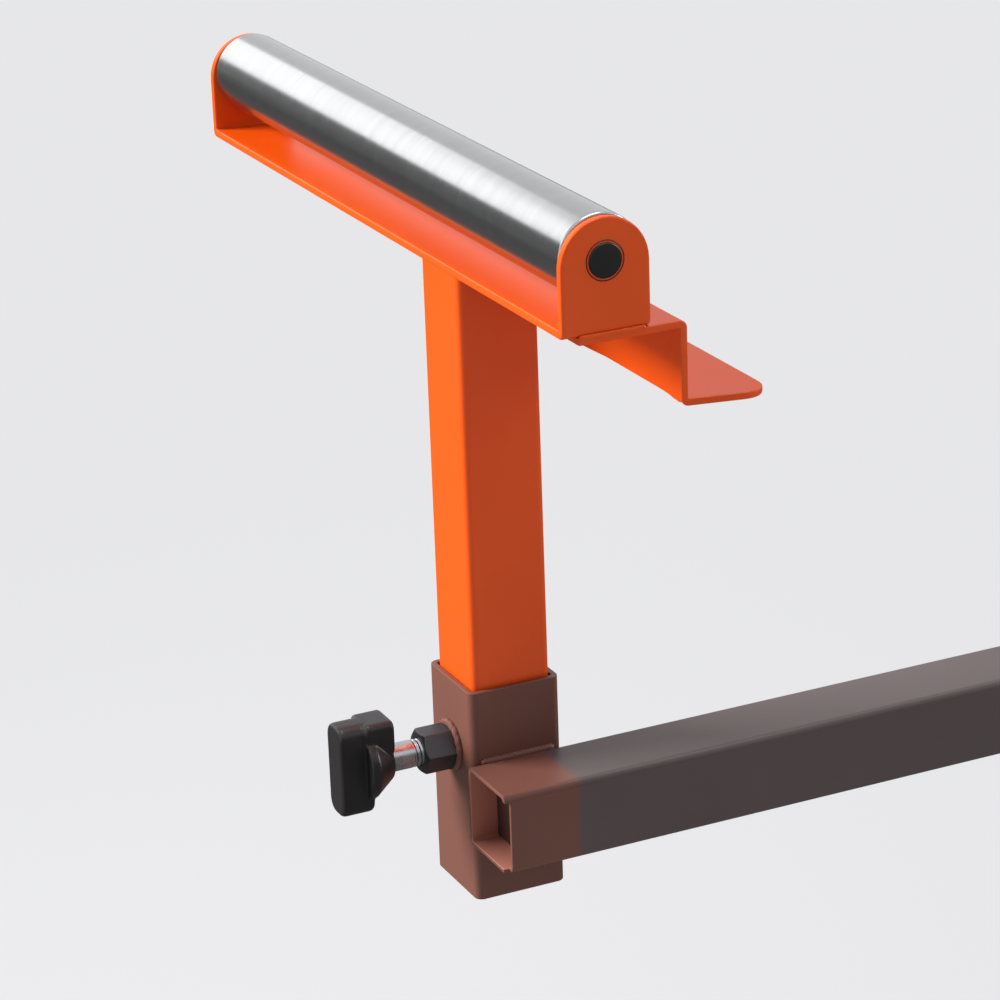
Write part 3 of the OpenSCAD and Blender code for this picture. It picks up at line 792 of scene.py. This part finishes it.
class STAND_OT_stop_brackets(StandOperator, bpy.types.Operator):
    """Stop brackets: a Z of sheet with a round-cornered lip"""

    bl_idname = "stand.stop_brackets"
    bl_label = "Stop brackets"

    def make(self, sizes):
        low, high, _ = box("left_stop_bracket")
        cradle_low, _, cradle_mid = box("left_roller_cradle")
        t, inside = sizes.bracket_sheet, 0.6 * MM
        web, corner = cradle_mid[0] + 28.9 * MM, 8 * MM
        outer = filleted([(low[0], high[2]), (web, high[2]),
                          (web, low[2] + t), (high[0], low[2] + t)],
                         [0, t, inside, 0])
        inner = filleted([(low[0], high[2] - t), (web - t, high[2] - t),
                          (web - t, low[2]), (high[0], low[2])],
                         [0, inside, t, 0])
        s = lengths(outer)
        whole, near, far = s[-1], cradle_low[1], high[1]
        foot = np.array([whole - (high[0] - web), near])
        bend = s[(s > 0) & (s < whole - corner - MM)]
        # The lip's near edge runs from the web's foot to touch the arc
        centre = np.array([whole - corner, low[1] + corner])
        run = centre - foot
        slope = math.atan2(run[1], run[0]) - math.asin(
            corner / np.linalg.norm(run))
        first = math.degrees(slope) - 90
        near_y = near + np.clip(bend - foot[0], 0, None) * math.tan(slope)
        left = np.concatenate([
            [[0, near]], np.stack([bend, near_y], -1),
            arc(centre, corner, first, first / 2, 5)])
        turn_at = (whole - corner, far - corner)
        right = np.concatenate([
            [[0, far]], np.stack([bend, np.full_like(bend, far)], -1),
            arc(turn_at, corner, 90, 45, 5)])
        end = np.concatenate([arc(centre, corner, first / 2, 0, 5),
                              arc(turn_at, corner, 0, 45, 5)])
        start = np.stack([np.zeros(len(end)),
                          np.linspace(near, far, len(end))], -1)
        flat = blank(start, end, left, right)

        def place(side_view, across):
            return np.stack([side_view[..., 0], across,
                             side_view[..., 1]], -1)

        both_sides(("stop", "stop_bracket",
                    bent_sheet(flat, outer, inner, place)),
                   ease=sizes.sheet_ease)


class STAND_OT_rollers(StandOperator, bpy.types.Operator):
    """Rollers with rounded rims, their bushes, axles and end caps"""

    bl_idname = "stand.rollers"
    bl_label = "Rollers, axles and caps"

    def make(self, sizes):
        low, high, middle = box("left_roller_shell")
        radius, half = (high - low)[0] / 2, (high - low)[1] / 2
        rim, wall = sizes.roller_rim, sizes.roller_wall
        lip = 0.3 * MM  # rounding of the tube's inner edge
        end = np.concatenate([
            arc((radius - rim, half - rim), rim, 0, 90),
            arc((radius - wall + lip, half - lip), lip, 90, 180, 3)])
        body = np.linspace(-0.95, 0.95, 24)[:, None] * [0, half]
        profile = np.concatenate([body + [radius, 0], end,
                                  end[::-1] * [1, -1]])
        cap_low, cap_high, _ = box("left_axle_caps")
        cap, proud = ((cap_high - cap_low) / 2)[:2]
        cradle = box("left_roller_cradle")[1][1]  # the ear's outer face
        face = arc((cap - 1.4 * MM, proud - 0.5 * MM), 0.5 * MM, 90, 0, 4)
        # A cap's domed face, round edge, groove, and its rim in the ear
        dome = np.concatenate([
            [[0, proud - 0.12 * MM], [cap * 0.5, proud - 0.04 * MM]], face,
            [[cap - 0.9 * MM, cradle - 0.8 * MM],
             [cap - 0.4 * MM, cradle - 0.8 * MM],
             [cap - 0.3 * MM, cradle + 0.1 * MM],
             [cap, cradle + 0.1 * MM], [cap, cradle - 1.5 * MM],
             [0, cradle - 1.5 * MM]]])
        tube = lathe(profile, middle, BACKWARDS, 96, True)
        caps = [lathe(dome * [1, s], middle * [1, 0, 1], BACKWARDS, 48)
                for s in (-1, 1)]
        both_sides(("roller_tube", "roller_shell", [tube]),
                   ("cap_discs", "axle_caps", caps))
        for side, _ in SIDES:
            for part in ("roller_bushes", "roller_axle"):
                paint_node(f"{side}_{part}")


def clamp_places(side, turn):
    """A side's three clamps: name, middle of the knob's hub face, outward
    axis and direction of the wings."""
    wings = {"height": UP, "lock": RIGHTWARDS * turn,
             "leg": np.array([math.cos(SPLAY), 0, -math.sin(SPLAY)]) * turn}
    for name, wing in wings.items():
        joint = JOINTS[f"{side}_{name}_knob_turn"]
        out = np.array(joint["axis"], float)
        gap = 0.3 * MM if name == "leg" else 24.5 * MM
        yield name, np.array(joint["pos_m"]) + out * gap, out, wing


class STAND_OT_knobs(StandOperator, bpy.types.Operator):
    """Moulded wing knobs: a bar, a hub and a finger step in one piece"""

    bl_idname = "stand.knobs"
    bl_label = "Wing knobs"

    def make(self, sizes):
        fuse = sizes.knob_voxel
        span, width = 34 * MM, 13 * MM  # of the grip
        foot, top = 8 * MM, 20.5 * MM  # of the grip, over the hub's face
        tall, broad, deep = 13 * MM, 15 * MM, 11 * MM  # of the step
        hub = np.concatenate([
            [[0, 0]], arc((6.3, 1.2), 1.2, -90, -35, 4), [[12.6, 8]],
            [[12.6, 11], [0, 11]]]) * MM
        for side, turn in SIDES:
            for name, centre, out, wing in clamp_places(side, turn):
                across = np.cross(out, wing)

                def seat(points):
                    return (centre + points[..., :1] * wing
                            + points[..., 1:2] * across
                            + points[..., 2:] * out)

                grip = rounded_prism(rounded(span, width, 4.5 * MM),
                                     (foot, top), 1.5 * MM, seat)
                step = rounded_prism(
                    rounded(tall, broad, 2.5 * MM)
                    + np.array([(span - tall) / 2, 0]),
                    (0, deep), 1.2 * MM, seat)
                node = f"{side}_{name}_knob"
                node_piece(f"{node}_moulding", node, [
                    lathe(hub, centre, out, 48), grip, step], 1.0, 0, fuse)


class STAND_OT_clamp_screws(StandOperator, bpy.types.Operator):
    """Threaded, zinc-plated screws of the knobs"""

    bl_idname = "stand.clamp_screws"
    bl_label = "Clamp screws"

    def make(self, sizes):
        for side, turn in SIDES:
            for name, centre, out, _ in clamp_places(side, turn):
                node, depth = f"{side}_{name}_screw", 14 * MM
                if name != "leg":
                    low, high, _ = box(node)
                    # The knob's moulding holds the last 9 mm of its screw
                    depth = np.abs(out @ (high - low)) - 9 * MM
                rod = threaded_rod(
                    centre - out * depth, out, depth + 4 * MM, 5 * MM,
                    sizes.thread_pitch, sizes.thread_depth, 12 * MM)
                if name != "leg":
                    node_piece(f"{side}_{name}_stud", node, [rod])
                else:
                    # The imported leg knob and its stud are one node
                    piece = closed_mesh(f"{side}_leg_stud", [rod])
                    smooth(piece)
                    dress(piece, f"{side}_leg_clamp", finish_of("zinc"),
                          "zinc")


class STAND_OT_nuts(StandOperator, bpy.types.Operator):
    """Hexagon nuts welded to the sleeves and rails, and the pivot bolts"""

    bl_idname = "stand.nuts"
    bl_label = "Nuts and pivot bolts"

    def make(self, sizes):
        apothem, bore = 7.36 * MM, 5.1 * MM
        tall = 13 * MM  # of a lock nut
        locks = []
        for side, turn in SIDES:
            node = f"{side}_sleeve_nut"
            low, high, middle = box(node)
            out = -RIGHTWARDS * turn
            base = middle - out * (high - low)[0] / 2
            node_piece(f"{side}_hex_nut", node, [hex_solid(
                base, out, apothem, (high - low)[0], bore, TAU / 12)],
                1.0, 0.25 * MM)
            screw = box(f"{side}_lock_screw")[2]
            face = box("lock_nuts")[0 if turn[1] > 0 else 1]
            out = -BACKWARDS * turn
            base = np.array([screw[0], face[1], screw[2]]) - out * tall
            locks.append(hex_solid(base, out, apothem, tall, bore))
        node_piece("lock_hex_nuts", "lock_nuts", locks, 1.0, 0.25 * MM)
        cheek, washer, head = 18.3 * MM, 1.2 * MM, 4.2 * MM
        flange = np.array([[0, 0], [7.4, 0], [7.5, 0.3], [7.5, 0.9],
                           [7.4, 1.2], [0, 1.2]]) * MM
        shank = np.array([[0, -18], [3.95, -18], [3.95, 18], [0, 18]]) * MM
        bolts = []
        for side, _ in SIDES:
            pivot = JOINTS[f"{side}_leg_fold"]["pos_m"]
            for part in ("front", "rear"):
                leg = box(f"{side}_{part}_leg")[2]
                middle = np.array([pivot[0], leg[1], pivot[2]])
                for out in (-BACKWARDS, BACKWARDS):
                    face = middle + out * cheek
                    bolts += [hex_solid(face + out * washer, out, 6.5 * MM,
                                        head),
                              lathe(flange, face, out, 48)]
                bolts.append(lathe(shank, middle, BACKWARDS, 32))
        node_piece("pivot_bolts", "leg_pivot_bolts", bolts, 1.0, 0.2 * MM)


class STAND_OT_feet(StandOperator, bpy.types.Operator):
    """Moulded rubber feet with three grooves, cut level with the floor"""

    bl_idname = "stand.feet"
    bl_label = "Rubber feet"

    def make(self, sizes):
        down = np.array([-math.sin(SPLAY), 0, -math.cos(SPLAY)])
        across = np.array([math.cos(SPLAY), 0, -math.sin(SPLAY)])
        wide, tall = 38 * MM, 42 * MM
        # Way down a foot, from 0 to 1, and how far it is drawn in there
        grooves = [start + step for start in (0.2, 0.42, 0.64)
                   for step in (0, 0.03, 0.07, 0.1)]
        t = np.array([0, 0, 0.012, 0.035, *grooves, 0.95, 0.985, 1])
        inset = np.array([4.2, 1.5, 0.5, 0, *(0, 0.9, 0.9, 0) * 3,
                          0, 0.4, 1.2]) * MM
        for side, turn in SIDES:
            pivot = np.array(JOINTS[f"{side}_leg_fold"]["pos_m"]) * turn
            patches = []
            for part in ("front", "rear"):
                leg_y = box(f"{side}_{part}_leg")[2][1] * turn[1]
                flat = rounded(wide, wide, 6.5 * MM)[None] * (
                    1 - inset[:, None, None] / (wide / 2))
                bottom = (pivot[2] - flat[..., 0] * math.sin(SPLAY)
                          ) / math.cos(SPLAY)
                top = pivot[2] / math.cos(SPLAY) - tall
                s = top + t[:, None] * (bottom - top)
                patches.append(capped(
                    np.array([pivot[0], leg_y, pivot[2]])
                    + flat[..., :1] * across + flat[..., 1:] * BACKWARDS
                    + s[..., None] * down))
            node_piece(f"{side}_rubber_feet", f"{side}_leg_feet", patches,
                       turn)


class STAND_OT_levers(StandOperator, bpy.types.Operator):
    """Cam levers of the saw mounts"""

    bl_idname = "stand.levers"
    bl_label = "Clamp levers"

    def make(self, sizes):
        for side, _ in SIDES:
            node = f"{side}_clamp_lever"
            low, high, middle = box(node)
            pin = box(f"{side}_mount_pin")[2]
            cam = 9 * MM
            axis = pin + UP * (high[2] - pin[2] - cam)
            drum = np.concatenate([
                [[0, -10]], arc((8, -9), 1, -90, 0, 3),
                arc((8, 9), 1, 0, 90, 3), [[0, 10]]]) * MM
            t = np.linspace(0, 1, 30)[:, None]
            end = np.sqrt(1 - np.clip((t - 0.965) / 0.035, 0, 1) ** 2)
            width = (10 - 1.6 * np.sin(np.pi * t) ** 2) * MM * (
                0.35 + 0.65 * end)
            thick = 3 * MM * (0.4 + 0.6 * end)
            shape = rounded(2, 2, 0.55, 5)  # from -1 to 1 both ways
            x = middle[0] + width * shape[:, 0]
            y = low[1] + 3 * MM + thick * shape[:, 1]
            z = axis[2] - t * (axis[2] - low[2])
            handle = capped(np.stack(np.broadcast_arrays(x, y, z), -1))
            node_piece(f"{side}_cam_lever", node, [
                lathe(drum, axis, RIGHTWARDS, 48), handle])


class STAND_OT_welds(StandOperator, bpy.types.Operator):
    """Weld beads where tubes, plates and nuts are joined"""

    bl_idname = "stand.welds"
    bl_label = "Weld beads"

    def make(self, sizes):
        pitch = sizes.bead_pitch

        def seam(x0, x1, y, z, width=sizes.bead_width):
            """A bead along X."""
            return bead(line((x0, y, z), (x1, y, z)), UP, BACKWARDS, width,
                        pitch)

        def ring(place, out, side):
            """A bead round a nut that stands on a tube's face."""
            reach = 8.2 * MM
            path = circle(place + 0.4 * MM * out, reach, side,
                          np.cross(out, side))
            return bead(path, out, (path - place) / reach, sizes.nut_bead,
                        2 * pitch, True)

        sleeve, nut = box("left_post_sleeve"), box("left_sleeve_nut")
        bar = box("left_extension_bar")
        face = sleeve[0][1]
        x0, x1 = sleeve[0][0] + 3 * MM, sleeve[1][0] - 3 * MM
        brown = [seam(x0, x1, face, z) for z in (bar[0][2], bar[1][2])]
        brown.append(ring(np.array([nut[1][0], nut[2][1], nut[2][2]]),
                          -RIGHTWARDS, BACKWARDS))
        screw, rail = box("left_lock_screw")[2], box("front_rail")
        grey = [ring(np.array([screw[0], rail[0][1], screw[2]]),
                     -BACKWARDS, RIGHTWARDS)]
        cradle = box("left_roller_cradle")
        x0, x1 = cradle[0][0] + 6 * MM, cradle[1][0] - 1.5 * MM
        orange = [seam(x0, x1, cradle[0][1] + 0.6 * MM, cradle[0][2],
                       1.8 * MM)]
        for side, turn in SIDES:
            for name, beads, body, slot in (
                    ("sleeve_welds", brown, f"{side}_bar", "brown_paint"),
                    ("lock_nut_weld", grey, "frame", "dark_paint"),
                    ("bracket_weld", orange, f"{side}_support",
                     "orange_paint")):
                piece = closed_mesh(f"{side}_{name}", beads, turn)
                smooth(piece)
                dress(piece, body, finish_of(slot), slot)


def quad(name, corners):
    """An object with one four-cornered face."""
    mesh = bpy.data.meshes.new(name)
    mesh.from_pydata(corners, [], [(0, 1, 2, 3)])
    return new_object(name, mesh)


def emission(tree, tint, strength=1.0):
    """The shader of a surface that gives light."""
    return add(tree, "ShaderNodeEmission", {
        "Color": tint, "Strength": strength}).outputs["Emission"]


class STAND_OT_studio(StandOperator, bpy.types.Operator):
    """Pale floor, soft lights, background and the photograph's camera"""

    bl_idname = "stand.studio"
    bl_label = "Studio"

    def make(self, sizes):
        scene = bpy.context.scene
        scene.view_settings.view_transform = "Standard"
        backdrop = tuple(scene.stand_colours.backdrop)
        self.make_floor(backdrop)
        self.make_cards()
        self.make_world(scene, backdrop)
        self.make_lights()
        self.make_camera(scene)

    def make_floor(self, backdrop):
        """A pale floor, which fades into the background further out."""
        floor = quad("floor", [(-9, -9, 0), (9, -9, 0), (9, 9, 0),
                               (-9, 9, 0)])
        material, tree, place = new_material("pale_floor")
        far = add(tree, "ShaderNodeVectorMath", {0: place},
                  operation="LENGTH").outputs["Value"]
        paper = add(tree, "ShaderNodeBsdfDiffuse", {
            "Color": (0.47, 0.47, 0.478, 1)})
        mixed = add(tree, "ShaderNodeMixShader", {
            0: soft_step(tree, far, 0.9, 2.3, 0.35),
            1: paper.outputs["BSDF"], 2: emission(tree, backdrop)})
        add(tree, "ShaderNodeOutputMaterial",
            {"Surface": mixed.outputs["Shader"]})
        floor.data.materials.append(material)

    def make_cards(self):
        """Cards that only reflections see: dark ones over the floor, low
        at the back left and behind the camera, which stand for a dark
        room, and a bright one where the main lamp is."""
        for name, corners, strength in (
                ("key_card", [(-8.6, 2.0, 3.4), (-7.1, 5.7, 3.4),
                              (-7.1, 5.7, 6.9), (-8.6, 2.0, 6.9)], 3.0),
                ("floor_card", [(-9, -9, 0.004), (9, -9, 0.004),
                                (9, 9, 0.004), (-9, 9, 0.004)], 0.10),
                ("back_card", [(-6.5, 1.5, 0.01), (-2.6, 4.6, 0.01),
                               (-2.6, 4.6, 1.75), (-6.5, 1.5, 1.75)], 0.14),
                ("front_card", [(-5, -3.6, 0.01), (5, -3.6, 0.01),
                                (5, -3.6, 2.6), (-5, -3.6, 2.6)], 0.12)):
            card = quad(name, corners)
            material, tree, _ = new_material(name)
            add(tree, "ShaderNodeOutputMaterial",
                {"Surface": emission(tree, (1, 1, 1, 1), strength)})
            card.data.materials.append(material)
            for seen in ("camera", "diffuse", "shadow", "transmission"):
                setattr(card, f"visible_{seen}", False)

    def make_world(self, scene, backdrop):
        """A pale background for the camera, metal and glass, and an even
        grey sky for diffuse light."""
        world = bpy.data.worlds.new("studio")
        scene.world = world
        world.use_nodes = True
        tree = world.node_tree
        tree.nodes.clear()
        path = add(tree, "ShaderNodeLightPath")
        seen = path.outputs["Is Camera Ray"]
        for ray in ("Is Glossy Ray", "Is Transmission Ray"):
            seen = add(tree, "ShaderNodeMath", {
                0: seen, 1: path.outputs[ray]},
                operation="MAXIMUM").outputs["Value"]
        sky = add(tree, "ShaderNodeBackground", {
            "Color": (1, 1, 1, 1), "Strength": 0.35})
        pale = add(tree, "ShaderNodeBackground", {"Color": backdrop})
        mixed = add(tree, "ShaderNodeMixShader", {
            0: seen, 1: sky.outputs["Background"],
            2: pale.outputs["Background"]})
        add(tree, "ShaderNodeOutputWorld",
            {"Surface": mixed.outputs["Shader"]})

    def make_lights(self):
        """Softboxes: name, place, aim, width, height, power in watts. In
        reflections the main one shows as its card, which doesn't glare."""
        for name, place, aim, width, depth, power in (
                ("key_left", (-7.87, 3.84, 5.13), (-0.5, 0, 0.6), 4.3, 3.5,
                 1850),
                ("overhead", (0.1, -0.3, 6.5), (0.1, -0.25, 0), 3.6, 3.0,
                 130),
                ("back_softbox", (-1.6, 2.7, 2.0), (-0.97, 0, 0.95), 1.9,
                 1.1, 7),
                ("right_fill", (7.2, -2.8, 3.4), (0.2, 0, 0.5), 4.0, 3.2,
                 240)):
            lamp = bpy.data.lights.new(name, "AREA")
            lamp.shape = "RECTANGLE"
            lamp.size, lamp.size_y, lamp.energy = width, depth, power
            holder = new_object(name, lamp)
            holder.visible_glossy = name != "key_left"
            back = unit(np.array(place) - np.array(aim))
            side = unit(np.cross(UP, back))
            holder.matrix_world = matrix(side, np.cross(back, side), back,
                                         place)

    def make_camera(self, scene):
        """The photograph's view: place, heading, tilt, roll and lens."""
        heading, tilt, roll = -0.431525, 0.356134, -0.036196
        back = np.array([math.sin(heading) * math.cos(tilt),
                         -math.cos(heading) * math.cos(tilt),
                         math.sin(tilt)])
        side = np.array([math.cos(heading), math.sin(heading), 0])
        up = np.cross(back, side)
        right = side * math.cos(roll) + up * math.sin(roll)
        lens = bpy.data.cameras.new("camera")
        lens.lens, lens.sensor_width = 127.37, 36
        lens.clip_end = 50
        camera = new_object("camera", lens)
        camera.matrix_world = matrix(
            right, np.cross(back, right), back,
            (-1.44647, -1.10675, 1.27715))
        scene.camera = camera


def matrix(x, y, z, place):
    """A 4 by 4 matrix from three axes and a place."""
    full = np.eye(4)
    full[:3, 0], full[:3, 1], full[:3, 2], full[:3, 3] = x, y, z, place
    return Matrix(full.tolist())


OPERATORS = (STAND_OT_tubes, STAND_OT_pressed_sheet, STAND_OT_cradles,
             STAND_OT_stop_brackets, STAND_OT_rollers, STAND_OT_knobs,
             STAND_OT_clamp_screws, STAND_OT_nuts, STAND_OT_feet,
             STAND_OT_levers, STAND_OT_welds, STAND_OT_studio)


class STAND_PT_parts(bpy.types.Panel):
    """Lists the stand's operators, sizes and colours"""

    bl_idname = "STAND_PT_parts"
    bl_label = "Saw stand"
    bl_space_type = "VIEW_3D"
    bl_region_type = "UI"
    bl_category = "Saw stand"

    def draw(self, context):
        for kind in OPERATORS:
            self.layout.operator(kind.bl_idname)
        for group in (context.scene.stand_sizes,
                      context.scene.stand_colours):
            for name in group.__annotations__:
                self.layout.prop(group, name)


CLASSES = (StandSizes, StandColours, *OPERATORS, STAND_PT_parts)


def register():
    """Registers the classes and gives the scene its properties."""
    for kind in CLASSES:
        bpy.utils.register_class(kind)
    bpy.types.Scene.stand_sizes = bpy.props.PointerProperty(type=StandSizes)
    bpy.types.Scene.stand_colours = bpy.props.PointerProperty(
        type=StandColours)


def unregister():
    """Takes away what register gives."""
    del bpy.types.Scene.stand_colours
    del bpy.types.Scene.stand_sizes
    for kind in reversed(CLASSES):
        bpy.utils.unregister_class(kind)


def main():
    """Makes every piece and the studio."""
    register()
    for kind in OPERATORS:
        group, name = kind.bl_idname.split(".")
        getattr(getattr(bpy.ops, group), name)()


if __name__ == "__main__":
    main()
